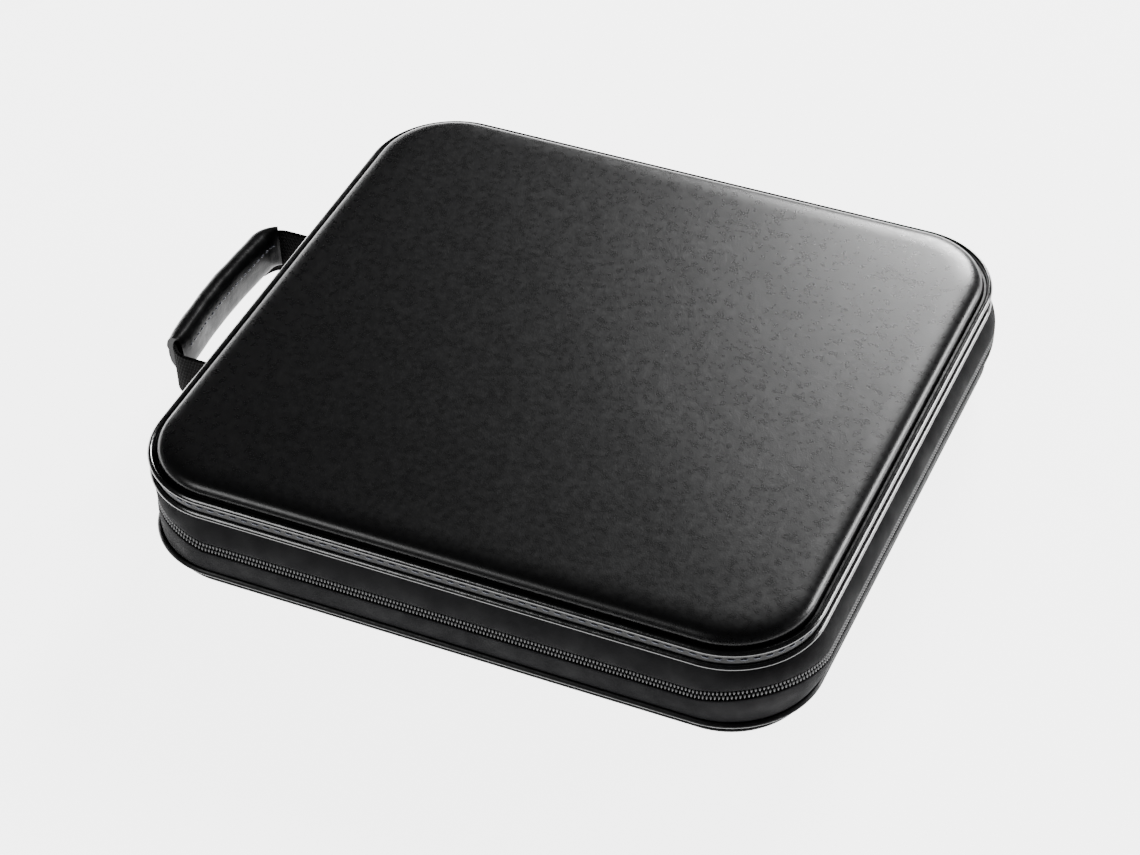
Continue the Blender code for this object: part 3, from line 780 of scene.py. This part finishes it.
class CASE_OT_walls(bpy.types.Operator):
    """Builds the woven walls above and below the zip"""
    bl_idname = "case.walls"
    bl_label = "Woven Walls"

    def execute(self, context):
        for row, side, seam, body in (("upper", 1, Z_LID_INNER, "lid"),
                                      ("lower", -1, Z_BACK_INNER, "base")):
            low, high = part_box("gusset_" + row)
            lip = low.z if side > 0 else high.z
            bm = zip_run(self.section(side, lip, seam - side * PIPING_RADIUS * SEAM_COVER), 40)
            unroll(bm)
            swell_wall(bm)
            finished("wall_" + row, bm, "nylon", body, ("gusset_" + row,), 50.0)
        return {"FINISHED"}

    def section(self, side, lip, seam_z):
        """From the seam out to the lip at the zip, round its folded hem, and back up the inside."""
        steps = 14
        tuck = 0.0007
        outer = []
        for i in range(steps + 1):
            share = i / steps
            bulge = (WALL_BULGE + tuck) * math.cos(math.pi / 2 * share) ** 0.8
            outer.append((bulge - tuck, lip + (seam_z - lip) * share))
        hem = [(WALL_BULGE - 0.0002, lip - side * 0.00035),
               (WALL_BULGE - 0.0008, lip - side * 0.0005),
               (WALL_BULGE - 0.0014, lip - side * 0.0001)]
        inner = [(outset - CLOTH_THICKNESS, z) for outset, z in outer[1:]]
        return list(reversed(outer)) + hem + inner


class CASE_OT_zip(bpy.types.Operator):
    """Builds the zip's tapes and its two rows of coil"""
    bl_idname = "case.zip"
    bl_label = "Zip"

    def execute(self, context):
        for row, side, body in (("upper", 1, "lid"), ("lower", -1, "base")):
            low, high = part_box("zip_tape_" + row)
            bottom, top = sorted((Z_ZIP + side * TAPE_GAP, high.z if side > 0 else low.z))
            face = high.x - HALF_LENGTH - TAPE_SINK
            back = face - TAPE_THICKNESS
            bm = zip_run([(face, bottom), (face, top), (back, top), (back, bottom)], 30)
            unroll(bm)
            swell_wall(bm)
            finished("tape_" + row, bm, "nylon", body, ("zip_tape_" + row,), 50.0)
            self.coil_row(row, side, body)
        return {"FINISHED"}

    def coil_row(self, row, side, body):
        """One rounded turn of coil after another, the two rows half a pitch apart."""
        pitch = sizes().tooth_pitch
        begin = SPINE_HALF + COIL_MARGIN - CORNER_Y
        count = int((OUTLINE_LENGTH - 2 * SPINE_HALF - 2 * COIL_MARGIN) / pitch)
        shift = 0.5 if side > 0 else 0.0
        places = []
        for i in range(count):
            place, out = outline_place(begin + (i + shift) * pitch, TEETH_OUTSET + COIL_PROUD)
            place.z = Z_ZIP + side * COIL_HALF_WIDTH
            places.append((place, Vector((-out.y, out.x, 0.0)), out))
        bm = bmesh.new()
        lay_copies(bm, places, (pitch * COIL_FULLNESS, COIL_HALF_DEPTH, COIL_HALF_WIDTH))
        swell_wall(bm)
        finished("coil_" + row, bm, "zip_coil", body, ("zip_teeth_" + row,), 60.0)


def strap_line():
    """The strap's middle line in plan, as the frame has it, in fine even steps."""
    crown = 0.0022
    bend = 0.0110
    start = STRAP_HIGH.x
    foot = STRAP_HIGH.y - STRAP_HALF
    middle = STRAP_LOW.x + STRAP_HALF + crown
    straight = foot - bend
    quarter = [(middle + bend - bend * math.sin(a), bend - foot - bend * math.cos(a))
               for a in [math.radians(90 * i / 10) for i in range(11)]]
    arch = [(middle - crown * math.cos(math.pi * t / 2), straight * t)
            for t in [-0.9 + 0.1 * i for i in range(10)]]
    feet = [(start + (quarter[0][0] - start) * i / 6, -foot) for i in range(6)]
    half_line = feet + quarter + arch
    return half_line + [(x, -y) for x, y in reversed(half_line[:-1])]


def travels(line):
    """The distance from the start of a line to each of its points."""
    travel = [0.0]
    for a, b in zip(line, line[1:]):
        travel.append(travel[-1] + math.dist(a, b))
    return travel


def sweep_line(line, section_at):
    """A section, given for each distance along the line, bridged from point to point and capped."""
    bm = bmesh.new()
    rings = []
    travel = travels(line)
    for i, (x, y) in enumerate(line):
        before = Vector(line[max(i - 1, 0)])
        after = Vector(line[min(i + 1, len(line) - 1)])
        ahead = (after - before).normalized()
        out = Vector((-ahead.y, ahead.x))
        section = section_at(travel[i], travel[-1])
        places = [Vector((x + out.x * u, y + out.y * u, Z_ZIP + v)) for u, v in section]
        rings.append(closed_line(bm, places))
    for a, b in zip(rings, rings[1:]):
        bmesh.ops.bridge_loops(bm, edges=a + b)
    for ring in (rings[0], rings[-1]):
        bmesh.ops.contextual_create(bm, geom=ring)
    bmesh.ops.recalc_face_normals(bm, faces=bm.faces)
    return bm


def unroll_strap(bm, line):
    """A UV map in metres along and across the strap."""
    layer = bm.loops.layers.uv.new("unrolled")
    travel = travels(line)
    for face in bm.faces:
        for loop in face.loops:
            co = loop.vert.co
            nearest = min(range(len(line)), key=lambda i: math.dist(line[i], (co.x, co.y)))
            loop[layer].uv = (travel[nearest], co.z)


class CASE_OT_handle(bpy.types.Operator):
    """Builds the ribbed strap and the rolled grip with its seam"""
    bl_idname = "case.handle"
    bl_label = "Handle"

    def execute(self, context):
        line = strap_line()
        bm = sweep_line(line, self.strap_section)
        unroll_strap(bm, line)
        finished("ribbed_strap", bm, "webbing", "base", ("handle_strap",), 50.0)

        core = self.grip_core(line)
        bm = sweep_line(core, self.grip_section)
        finished("grip_roll", bm, "grip", "base", ("handle_grip",), 38.0)
        self.grip_stitches(core)
        return {"FINISHED"}

    def strap_section(self, at, whole):
        """The webbing across its ribs. It is folded narrower where the grip holds it."""
        ribs = sizes().rib_count
        steps = ribs * 4
        rib_depth = 0.00022
        edge_radius = 0.0008
        fold_run = 0.009
        tall = (STRAP_HIGH.z - STRAP_LOW.z) / 2
        held_from = whole / 2 - GRIP_REACH
        fold = 1.0 - 0.42 * ease((min(at, whole - at) - held_from) / fold_run)
        face = []
        for i in range(steps + 1):
            share = i / steps
            rib = rib_depth * (abs(math.sin(math.pi * ribs * share)) - 0.6)
            edge = min(1.0, min(share, 1 - share) * 2 * tall / edge_radius)
            face.append((STRAP_HALF * (0.45 + 0.55 * edge) + rib, (-tall + 2 * tall * share) * fold))
        return face + [(-u, v) for u, v in reversed(face)]

    def grip_core(self, line):
        """The stretch of the strap that the grip covers, in finer steps."""
        far = GRIP_REACH + sizes().grip_overrun
        held = [(x, y) for x, y in line
                if GRIP_MARGIN - GRIP_REACH < y < far - GRIP_MARGIN and x < GRIP_INNER_X]
        held = [(held[0][0], -GRIP_REACH)] + held
        core = []
        for (x0, y0), (x1, y1) in zip(held, held[1:]):
            core += [(x0 + (x1 - x0) * t / 4, y0 + (y1 - y0) * t / 4) for t in range(4)]
        return core + [held[-1]]

    def grip_section(self, at, whole):
        """Coated cloth rolled round the strap, its edge lapped on the side of the hand."""
        sides = 40
        wide = sizes().grip_thickness / 2
        end = min(at, whole - at)
        pinch = 1.0 - 0.22 * math.exp(-(end / 0.006) ** 2)
        ripple = 0.00022 * math.sin(at / 0.0061) + 0.00015 * math.sin(at / 0.0027 + 1.0)
        points = []
        for i in range(sides):
            angle = 2 * math.pi * (i + 0.5) / sides
            side = math.copysign(abs(math.cos(angle)) ** 0.8, math.cos(angle))
            rise = math.copysign(abs(math.sin(angle)) ** 0.62, math.sin(angle))
            u = wide * side * pinch
            v = GRIP_HALF_HEIGHT * rise
            if v < 0:
                v *= 0.50
                u = u * (1 + 0.30 * rise) + 0.0022 * rise
            if side > 0 and v > LAP_HEIGHT:
                u += LAP_THICKNESS * min(1.0, (GRIP_HALF_HEIGHT - v) / 0.003 + 0.2)
            points.append((u + ripple * (side if side > 0 else 0.3 * side), v))
        return points

    def grip_stitches(self, core):
        """A row of stitches just above the lapped edge."""
        pitch = 0.0040
        margin = 0.004
        above = 0.0022
        far = GRIP_REACH + sizes().grip_overrun
        seam = sizes().grip_thickness / 2 * 0.97 + LAP_THICKNESS
        travel = 0.0
        places = []
        for (x0, y0), (x1, y1) in zip(core, core[1:]):
            travel += math.dist((x0, y0), (x1, y1))
            if travel < pitch or not margin - GRIP_REACH < y0 < far - margin:
                continue
            travel = 0.0
            ahead = Vector((x1 - x0, y1 - y0, 0.0)).normalized()
            inward = Vector((ahead.y, -ahead.x, 0.0))
            place = Vector((x0, y0, Z_ZIP + LAP_HEIGHT + above)) + inward * seam
            places.append((place, ahead, inward))
        lay_beads("grip_stitches", places, 0.0027, 0.00045, "thread", "base")


def add_box(bm, low, high):
    """A plain block between two corners, given back as its vertices."""
    spot = Matrix.Translation((low + high) / 2) @ Matrix.Diagonal((*(high - low), 1.0))
    return bmesh.ops.create_cube(bm, size=1.0, matrix=spot)["verts"]


def add_block(bm, low, high, radius, segments=2):
    """A block between two corners with rounded edges."""
    verts = add_box(bm, low, high)
    edges = list({edge for vert in verts for edge in vert.link_edges})
    if radius > 0:
        bmesh.ops.bevel(bm, geom=edges, offset=radius, segments=segments, affect="EDGES",
                        profile=0.5, material=-1)


def add_leaf(bm, low, high, corner):
    """A thin sheet with rounded corners."""
    verts = add_box(bm, low, high)
    edges = {edge for vert in verts for edge in vert.link_edges}
    upright = [edge for edge in edges
               if abs(edge.verts[0].co.z - edge.verts[1].co.z) > (high.z - low.z) / 2]
    bmesh.ops.bevel(bm, geom=upright, offset=corner, segments=6, affect="EDGES", profile=0.5,
                    material=-1)


class CASE_OT_spine(bpy.types.Operator):
    """Builds the wall that the lid folds along, with the rows that sew the strap down"""
    bl_idname = "case.spine"
    bl_label = "Spine Wall"

    def execute(self, context):
        cover = 0.0006
        bow = 0.0004
        thickness = 0.0018
        steps = 12
        low = SPINE_LOW.z - cover
        high = SPINE_HIGH.z + cover
        proud = -SPINE_LOW.x - HALF_LENGTH
        outer = [(proud + bow * math.sin(math.pi * i / steps), low + (high - low) * i / steps)
                 for i in range(steps + 1)]
        inner = [(proud - thickness, high), (proud - thickness, low)]
        bm = spine_strip(outer + inner, 20)
        finished("spine_skin", bm, "leatherette", "base", ("spine_wall",), 50.0)
        self.stitches(low, high)
        return {"FINISHED"}

    def stitches(self, low, high):
        """A row along each edge of the wall, and two rows down each foot of the strap."""
        pitch = 0.0034
        end_margin = 0.004
        edge_margin = 0.0030
        foot_margin = 0.0016
        face_x = SPINE_LOW.x - 0.0005
        out = Vector((-1, 0, 0))
        places = []
        count = int(2 * (SPINE_HALF - end_margin) / pitch)
        for z in (low + edge_margin, high - edge_margin):
            for i in range(count + 1):
                place = Vector((face_x, -SPINE_HALF + end_margin + i * pitch, z))
                places.append((place, Vector((0, 1, 0)), out))
        rise = (STRAP_HIGH.z - STRAP_LOW.z - 2 * foot_margin) / 7
        for side in (-1, 1):
            for offset in (0.0022, -0.0040):
                for i in range(8):
                    place = Vector((face_x, side * (STRAP_HIGH.y + offset),
                                    STRAP_LOW.z + foot_margin + i * rise))
                    places.append((place, Vector((0, 0, 1)), out))
        lay_beads("spine_stitches", places, 0.0024, sizes().thread_radius, "thread", "base")


class CASE_OT_fold(bpy.types.Operator):
    """Builds the cloth that carries the lid at the fold"""
    bl_idname = "case.fold"
    bl_label = "Fold Cloth"

    def execute(self, context):
        bow = 0.0006
        thickness = 0.0010
        steps = 10
        foot = SPINE_HIGH.z - 0.0030
        head = Z_LID_INNER + 0.0010
        face = [(-BAND_SINK - bow * math.sin(math.pi * i / steps), foot + (head - foot) * i / steps)
                for i in range(steps + 1)]
        back = [(outset - thickness, z) for outset, z in reversed(face)]
        bm = spine_strip(face + back, 24)
        unroll(bm)
        piece = finished("fold_cloth", bm, "nylon", None)
        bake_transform(piece)
        return {"FINISHED"}


class CASE_OT_sliders(bpy.types.Operator):
    """Builds the two sliders, their pull tabs and the zip's end stops"""
    bl_idname = "case.sliders"
    bl_label = "Sliders"

    def execute(self, context):
        for word, way in (("left", -1), ("right", 1)):
            low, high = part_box("zip_slider_" + word)
            self.slider(word, low, high)
            low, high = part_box("pull_tab_" + word)
            self.tab(word, way, low, high)
        for word in ("front", "back"):
            low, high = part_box("zip_stop_" + word)
            bm = bmesh.new()
            add_block(bm, low, high, 0.0004)
            finished("stop_" + word, bm, "metal", "base", ("zip_stop_" + word,), 50.0)
        return {"FINISHED"}

    def slider(self, word, low, high):
        """An inner and an outer plate, the blade between them and a yoke for the tab."""
        plate = 0.0013
        blade = 0.0003
        yoke = 0.0022
        ear_half = 0.0015
        ear_thickness = 0.0008
        rib_half = 0.0007
        middle = (low.x + high.x) / 2
        mid_z = (low.z + high.z) / 2
        face = high.y - yoke
        bm = bmesh.new()
        add_block(bm, Vector((low.x, face - plate, low.z)), Vector((high.x, face, high.z)), 0.00055, 3)
        add_block(bm, low, Vector((high.x, low.y + plate, high.z)), 0.00045, 2)
        add_block(bm, Vector((low.x + 0.0008, low.y + 0.0004, mid_z - blade)),
                  Vector((high.x - 0.0008, face - 0.0004, mid_z + blade)), 0.0)
        for z in (low.z + 0.0001, high.z - 0.0009):
            add_block(bm, Vector((middle - ear_half, face - 0.0006, z)),
                      Vector((middle + ear_half, high.y, z + ear_thickness)), 0.00036, 2)
        for end in (-1, 1):
            spot = middle + end * ((high.x - low.x) / 2 - 2 * rib_half)
            add_block(bm, Vector((spot - rib_half, face - 0.0004, low.z + 0.0012)),
                      Vector((spot + rib_half, face + 0.0003, high.z - 0.0012)), 0.0003, 2)
        finished("slider_" + word + "_body", bm, "metal", "slider_" + word, ("zip_slider_" + word,), 50.0)

    def tab(self, word, way, low, high):
        """A pressed tab: barrel, narrow neck and a leaf with a sunk panel on both faces."""
        radius = (high.y - low.y) / 2
        mid_y = (low.y + high.y) / 2
        mid_z = (low.z + high.z) / 2
        tall = high.z - low.z
        pin = high.x - radius if way < 0 else low.x + radius
        tip = low.x if way < 0 else high.x
        half = 0.0006
        neck_length = 0.0068
        neck_half_height = 0.0020
        bm = bmesh.new()
        bmesh.ops.create_cone(bm, cap_ends=True, segments=20, radius1=radius, radius2=radius,
                              depth=tall, matrix=Matrix.Translation((pin, mid_y, mid_z)))
        neck = pin + way * neck_length
        left, right = sorted((pin, neck))
        add_block(bm, Vector((left, mid_y - half * 0.8, mid_z - neck_half_height)),
                  Vector((right, mid_y + half * 0.8, mid_z + neck_half_height)), 0.0003, 2)
        left, right = sorted((neck - way * 0.0010, tip))
        first = len(bm.faces)
        add_leaf(bm, Vector((left, mid_y - half, mid_z - tall / 2)),
                 Vector((right, mid_y + half, mid_z + tall / 2)), 0.0)
        bm.faces.ensure_lookup_table()
        for face in [f for f in bm.faces[first:] if abs(f.normal.y) > 0.9 or f.calc_area() > 5e-5]:
            bmesh.ops.inset_region(bm, faces=[face], thickness=0.0011, depth=0.0)
            bmesh.ops.inset_region(bm, faces=[face], thickness=0.0003, depth=-0.00025)
        bmesh.ops.recalc_face_normals(bm, faces=bm.faces)
        piece = finished("tab_" + word + "_leaf", bm, "metal", "tab_" + word, ("pull_tab_" + word,), 25.0)
        edge = piece.modifiers.new("soft_edges", "BEVEL")
        edge.width = 0.00022
        edge.segments = 2
        edge.limit_method = "ANGLE"


class CASE_OT_inside(bpy.types.Operator):
    """Builds the sleeve leaves with their pockets, and dresses the linings"""
    bl_idname = "case.inside"
    bl_label = "Sleeves and Linings"

    def execute(self, context):
        rise = (SLEEVES_HIGH.z - SLEEVES_LOW.z) / sizes().leaf_count
        self.leaves(rise)
        self.pockets(SLEEVES_HIGH.z - (1 - LEAF_FULLNESS) * rise)

        low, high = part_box("spine_board")
        bm = bmesh.new()
        add_block(bm, low, high, 0.0006)
        finished("spine_pad", bm, "lining", "base", ("spine_board",), 50.0)
        for node in ("top_lining", "bottom_lining", "sleeve_binding"):
            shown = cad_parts[node]
            shown.data.materials.clear()
            shown.data.materials.append(finish_for("lining"))
        return {"FINISHED"}

    def leaves(self, rise):
        """A loose stack of leaves, no two drawn quite level."""
        corner = 0.018
        bm = bmesh.new()
        for i in range(sizes().leaf_count):
            drawn = 0.0009 * math.sin(i * 2.4) ** 2
            short = 0.0014 * math.sin(i * 1.7 + 0.6) ** 2
            low = Vector((SLEEVES_LOW.x, SLEEVES_LOW.y + drawn, SLEEVES_LOW.z + i * rise))
            high = Vector((SLEEVES_HIGH.x - short, SLEEVES_HIGH.y - drawn,
                           SLEEVES_LOW.z + (i + LEAF_FULLNESS) * rise))
            add_leaf(bm, low, high, corner)
        bmesh.ops.recalc_face_normals(bm, faces=bm.faces)
        finished("sleeve_leaves", bm, "sleeve", "base", ("disc_sleeves",), 40.0)

    def pockets(self, top):
        """Four pockets on the top leaf, each welded round its edge and sunk inside the weld."""
        gap = 0.0040
        hem = 0.0090
        free_end = 0.0040
        sink = 0.0001
        thickness = 0.0006
        weld = 0.0024
        span_x = (SLEEVES_HIGH.x - SLEEVES_LOW.x - hem - free_end - 3 * gap) / 2
        span_y = (SLEEVES_HIGH.y - SLEEVES_LOW.y - 3 * gap) / 2
        bm = bmesh.new()
        for ix in range(2):
            for iy in range(2):
                low = Vector((SLEEVES_LOW.x + hem + gap + ix * (span_x + gap),
                              SLEEVES_LOW.y + gap + iy * (span_y + gap), top - sink))
                add_leaf(bm, low, low + Vector((span_x, span_y, thickness)), 0.0100)
        bm.normal_update()
        for face in [f for f in bm.faces if f.normal.z > 0.9]:
            bmesh.ops.inset_region(bm, faces=[face], thickness=weld, depth=0.0)
            bmesh.ops.inset_region(bm, faces=[face], thickness=0.0006, depth=-0.00035)
        finished("sleeve_pockets", bm, "sleeve", "base", (), 15.0)


CAMERA_AIM = Vector((0.01401, -0.04314, Z_LID_OUTER))
CAMERA_DISTANCE = 1.36616
CAMERA_TURN = math.radians(-64.4425)
CAMERA_RISE = math.radians(41.9132)
CAMERA_ROLL = math.radians(-2.4281)
LENS_MM = 95.555
SENSOR_MM = 36.0
FLOOR_HALF = 6.0
FLOOR_GLOW = 4.6
FLOOR_DIM = 0.1
GLOW_RADIUS = 0.50
DIM_RADIUS = 0.95


class CASE_OT_stage(bpy.types.Operator):
    """Sets the pale floor, the soft lights and the camera"""
    bl_idname = "case.stage"
    bl_label = "Stage"

    def execute(self, context):
        self.floor()
        self.area("back_right_light", (-0.12, 2.00, 1.05), 0.60, 0.54, 66.0)
        self.area("front_left_light", (-1.05, -1.35, 1.45), 0.65, 0.65, 10.0)
        self.area("back_left_light", (-1.7, 1.7, 0.30), 0.9, 0.20, 3.0)
        self.area("side_light", (2.1, 1.8, 0.60), 1.2, 0.60, 60.0)
        world = bpy.data.worlds.new("studio_world")
        world.use_nodes = True
        sky = world.node_tree.nodes["Background"]
        sky.inputs["Color"].default_value = (1.0, 1.0, 1.0, 1.0)
        sky.inputs["Strength"].default_value = 0.03
        context.scene.world = world
        self.camera()
        return {"FINISHED"}

    def floor(self):
        """A pale floor that glows under the case, so that it reads as white paper."""
        bm = bmesh.new()
        bmesh.ops.create_grid(bm, x_segments=1, y_segments=1, size=FLOOR_HALF)
        mesh = bpy.data.meshes.new("studio_floor")
        bm.to_mesh(mesh)
        bm.free()
        floor = bpy.data.objects.new("studio_floor", mesh)
        bpy.context.scene.collection.objects.link(floor)
        pale = Finish("pale_floor", (0.80, 0.80, 0.80), 0.9)
        pale.shader.inputs["Emission Color"].default_value = (1.0, 1.0, 1.0, 1.0)
        pale.shader.inputs["Specular IOR Level"].default_value = 0.0
        distance = pale.node("ShaderNodeVectorMath", operation="LENGTH")
        pale.link(pale.place(), distance.inputs[0])
        glow = pale.spread(distance.outputs["Value"], FLOOR_GLOW, FLOOR_DIM, GLOW_RADIUS, DIM_RADIUS)
        pale.link(glow, pale.shader.inputs["Emission Strength"])
        mesh.materials.append(pale.material)

    def camera(self):
        """A long lens, from the front right and above, with the photograph's slight roll."""
        lens = bpy.data.cameras.new("photo_camera")
        lens.sensor_fit = "HORIZONTAL"
        lens.sensor_width = SENSOR_MM
        lens.lens = LENS_MM
        lens.clip_start = 0.05
        lens.clip_end = 30.0
        camera = bpy.data.objects.new("photo_camera", lens)
        bpy.context.scene.collection.objects.link(camera)
        back = Vector((math.cos(CAMERA_RISE) * math.cos(CAMERA_TURN),
                       math.cos(CAMERA_RISE) * math.sin(CAMERA_TURN), math.sin(CAMERA_RISE)))
        turn = back.to_track_quat("Z", "Y").to_matrix().to_4x4()
        place = Matrix.Translation(CAMERA_AIM + CAMERA_DISTANCE * back)
        camera.matrix_world = place @ turn @ Matrix.Rotation(CAMERA_ROLL, 4, "Z")
        bpy.context.scene.camera = camera

    def area(self, name, place, wide, tall, power):
        """A soft box aimed at the middle of the case."""
        light = bpy.data.lights.new(name, "AREA")
        light.shape = "RECTANGLE"
        light.size = wide
        light.size_y = tall
        light.energy = power
        lamp = bpy.data.objects.new(name, light)
        bpy.context.scene.collection.objects.link(lamp)
        lamp.location = place
        aim = Vector((0.0, 0.0, Z_ZIP)) - Vector(place)
        lamp.rotation_euler = aim.to_track_quat("-Z", "Y").to_euler()


class CASE_PT_panel(bpy.types.Panel):
    """Lists the steps that dress the case"""
    bl_idname = "CASE_PT_panel"
    bl_label = "Disc Case"
    bl_space_type = "VIEW_3D"
    bl_region_type = "UI"
    bl_category = "Disc Case"

    def draw(self, context):
        column = self.layout.column()
        for group in (context.scene.case_sizes, context.scene.case_colours):
            for key in group.bl_rna.properties.keys():
                if key not in ("rna_type", "name"):
                    column.prop(group, key)
        for step in STEPS:
            column.operator(step.bl_idname)


STEPS = (CASE_OT_stage, CASE_OT_covers, CASE_OT_bindings, CASE_OT_walls, CASE_OT_zip,
         CASE_OT_handle, CASE_OT_spine, CASE_OT_fold, CASE_OT_sliders, CASE_OT_inside)
CLASSES = (CaseSizes, CaseColours) + STEPS + (CASE_PT_panel,)


def register():
    for cls in CLASSES:
        bpy.utils.register_class(cls)
    bpy.types.Scene.case_sizes = PointerProperty(type=CaseSizes)
    bpy.types.Scene.case_colours = PointerProperty(type=CaseColours)


def unregister():
    del bpy.types.Scene.case_colours
    del bpy.types.Scene.case_sizes
    for cls in reversed(CLASSES):
        bpy.utils.unregister_class(cls)


def main():
    register()
    for step in STEPS:
        group, name = step.bl_idname.split(".")
        getattr(getattr(bpy.ops, group), name)()


if __name__ == "__main__":
    main()
